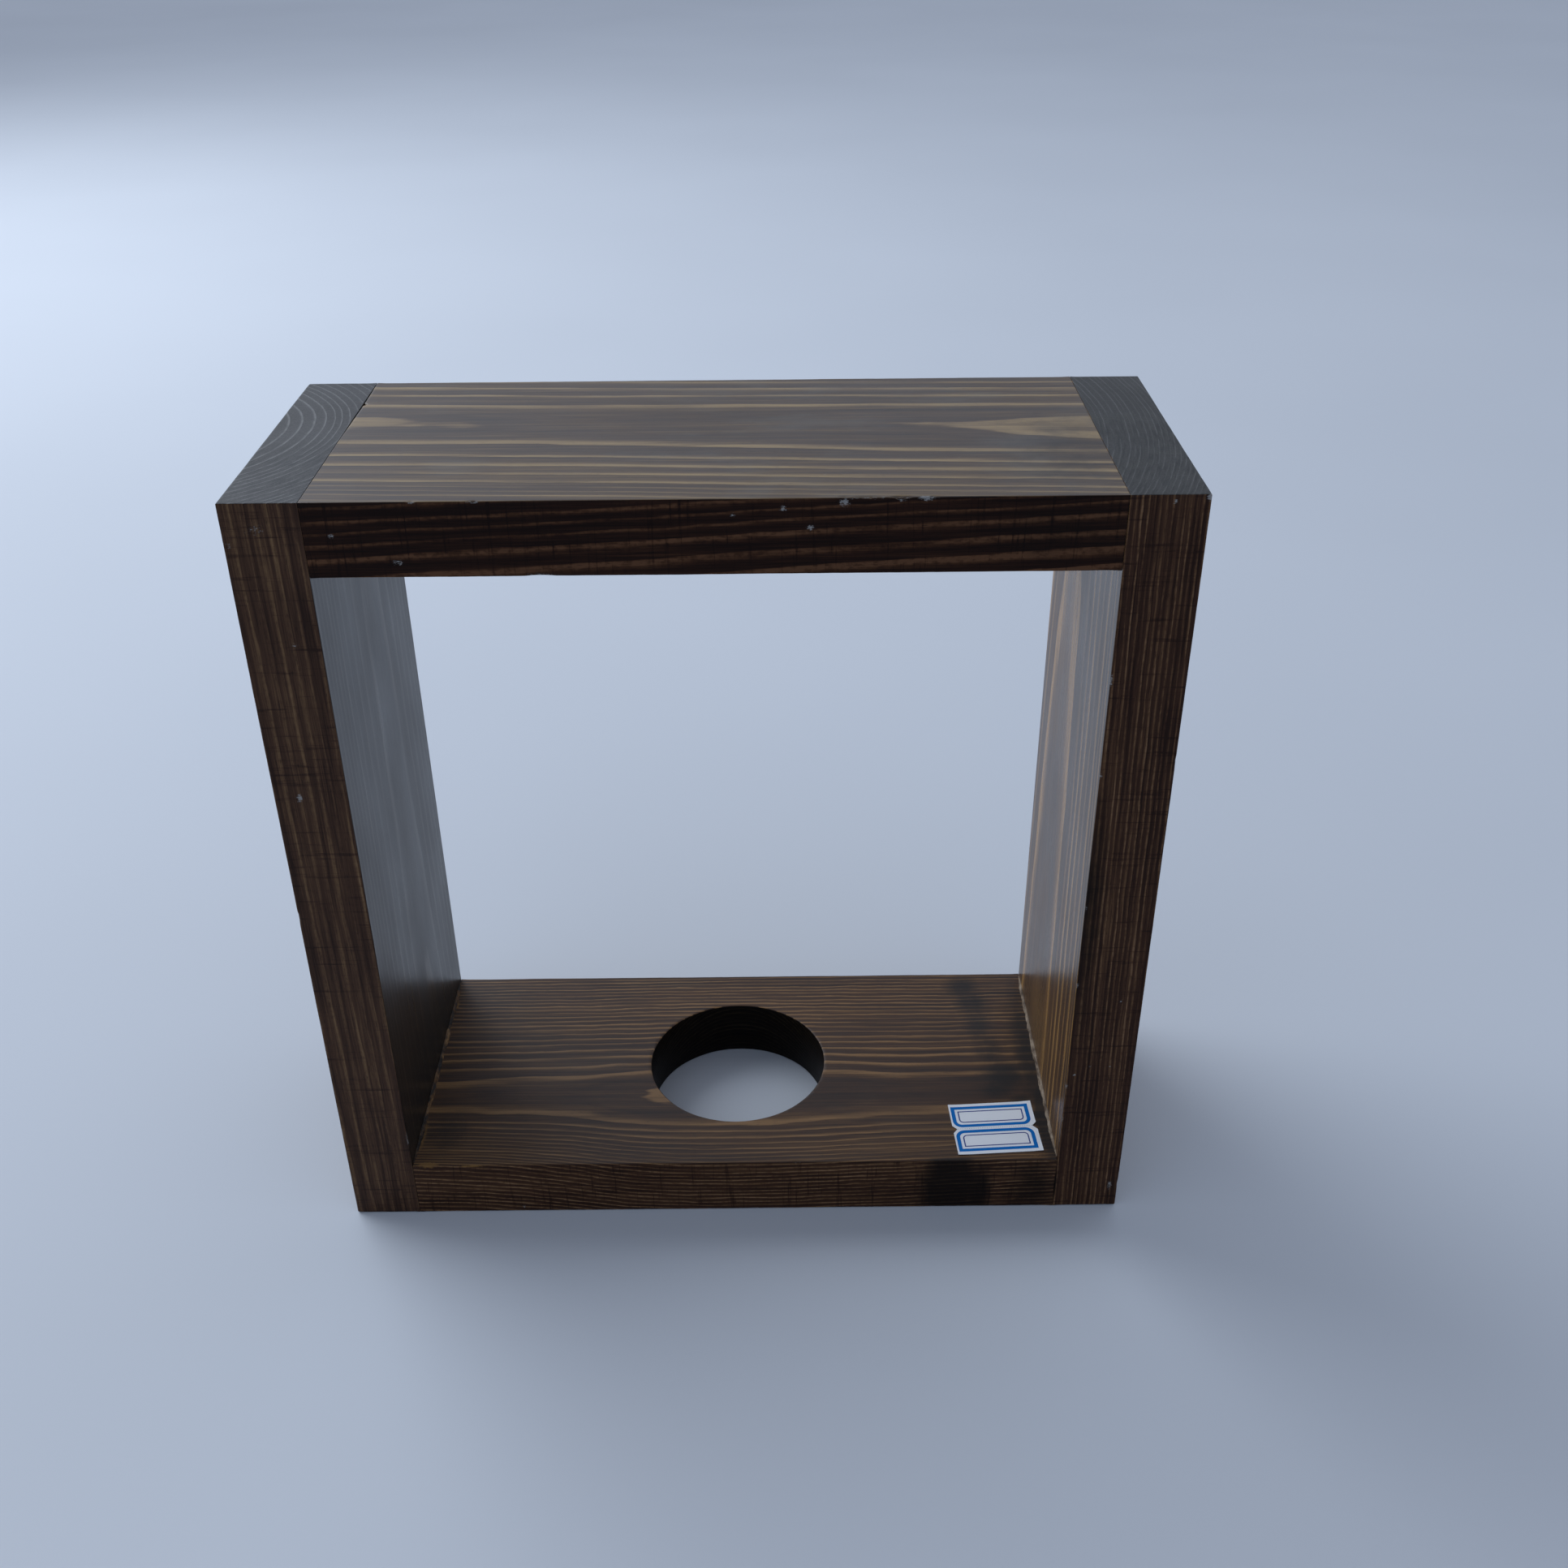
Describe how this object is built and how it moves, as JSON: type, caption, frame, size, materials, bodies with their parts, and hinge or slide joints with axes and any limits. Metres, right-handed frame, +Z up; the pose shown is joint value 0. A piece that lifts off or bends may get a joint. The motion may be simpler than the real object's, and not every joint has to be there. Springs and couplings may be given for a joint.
{
  "type": "open display frame",
  "caption": "Square box-shaped display frame of dark-stained softwood boards, open at front and back, with a round hole through its bottom board for a vase, tube or cup",
  "frame": {"origin": "centre of the footprint, on the surface that the frame stands on", "axes": "+X to the right across the frame, +Y from the front to the back, +Z up"},
  "size_m": [0.25, 0.097, 0.248],
  "materials": {
    "stained_side_wood": "dark walnut stain on planed softwood, satin varnish",
    "stained_rail_wood": "dark walnut stain on planed softwood, satin varnish",
    "dowel_wood": "bare fluted hardwood dowel",
    "cured_glue": "cured wood glue, amber, glossy",
    "tab_paper": "white self-adhesive paper with a plain blue printed border"
  },
  "bodies": {
    "root": {"left_side_board": "stained_side_wood", "right_side_board": "stained_side_wood", "top_board": "stained_rail_wood", "bottom_board": "stained_rail_wood", "dowel_top_left_front": "dowel_wood", "dowel_top_left_back": "dowel_wood", "dowel_top_right_front": "dowel_wood", "dowel_top_right_back": "dowel_wood", "dowel_bottom_left_front": "dowel_wood", "dowel_bottom_left_back": "dowel_wood", "dowel_bottom_right_front": "dowel_wood", "dowel_bottom_right_back": "dowel_wood", "glue_fillet_bottom_left": "cured_glue", "glue_fillet_bottom_right": "cured_glue", "glue_fillet_top_left": "cured_glue", "glue_fillet_top_right": "cured_glue", "index_tab": "tab_paper"}
  },
  "joints": []
}
